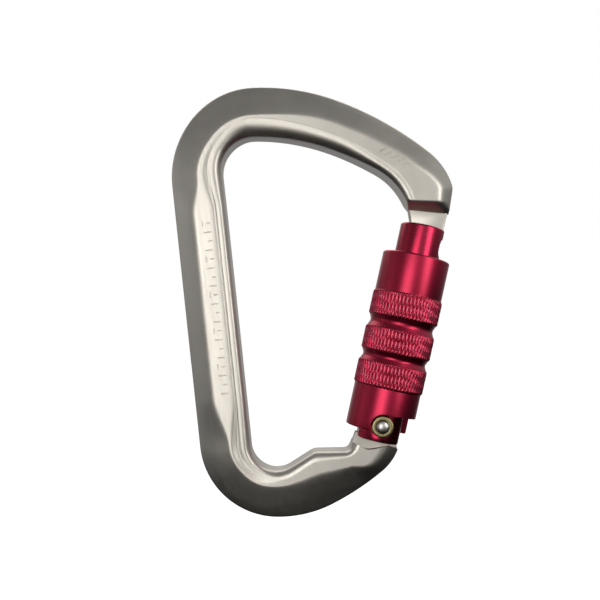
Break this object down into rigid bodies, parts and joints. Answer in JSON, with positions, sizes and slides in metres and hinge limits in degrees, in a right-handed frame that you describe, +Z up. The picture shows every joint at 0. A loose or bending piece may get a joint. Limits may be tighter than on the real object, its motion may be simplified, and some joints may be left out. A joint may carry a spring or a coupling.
{
  "type": "locking carabiner",
  "caption": "Offset-D locking carabiner: forged frame, inward-swinging sprung gate with a keyhole nose catch, and a knurled twist sleeve over the gate.",
  "frame": {"origin": "the highest point of the rope-bearing wall inside the top of the frame, midway through its thickness", "axes": "+Z up along the spine towards the nose end, +X from the spine towards the gate, front face looks along -Y"},
  "size_m": [0.0725, 0.0182, 0.1121],
  "materials": {
    "frame_anodised": "satin grey anodised",
    "barrel_anodised": "glossy red anodised",
    "sleeve_anodised": "satin red anodised, knurled bands",
    "polished_steel": "polished",
    "ring_brass": "satin",
    "spring_steel": "drawn wire",
    "dark_spring_steel": "blackened",
    "bearing_bronze": "sintered"
  },
  "bodies": {
    "body": {"frame": "frame_anodised"},
    "gate": {"gate_barrel": "barrel_anodised", "pivot_rivet": "polished_steel", "pivot_ring": "ring_brass", "gate_spring": "spring_steel", "retaining_ring": "dark_spring_steel", "guide_pin": "polished_steel", "spring_seat_ring": "bearing_bronze", "sleeve_spring": "spring_steel"},
    "sleeve": {"lock_sleeve": "sleeve_anodised", "sleeve_bush": "bearing_bronze"},
    "plunger": {"gate_plunger": "polished_steel"}
  },
  "joints": [
    {"name": "gate_swing", "type": "hinge", "parent": "body", "child": "gate", "pos_m": [0.02541, 0, -0.07749], "axis": [0, -1, 0], "range_deg": [0, 31], "stiffness_Nm_per_rad": 0.3, "springref_deg": -28.65},
    {"name": "sleeve_twist", "type": "hinge", "parent": "gate", "child": "sleeve", "pos_m": [0.02541, 0, -0.07749], "axis": [-0.3173, 0, -0.9483], "range_deg": [0, 88], "stiffness_Nm_per_rad": 0.01, "springref_deg": -34.38},
    {"name": "plunger_travel", "type": "slide", "parent": "gate", "child": "plunger", "axis": [0.3173, 0, 0.9483], "range_m": [0, 0.0017], "stiffness_N_per_m": 40, "springref_m": -0.004, "deforming": ["gate_spring"]}
  ],
  "couplings": [
    {"joint": "sleeve_twist", "follows": "gate_swing", "ratio": 2.838},
    {"joint": "plunger_travel", "follows": "gate_swing", "m_per_rad": 0.00296}
  ]
}
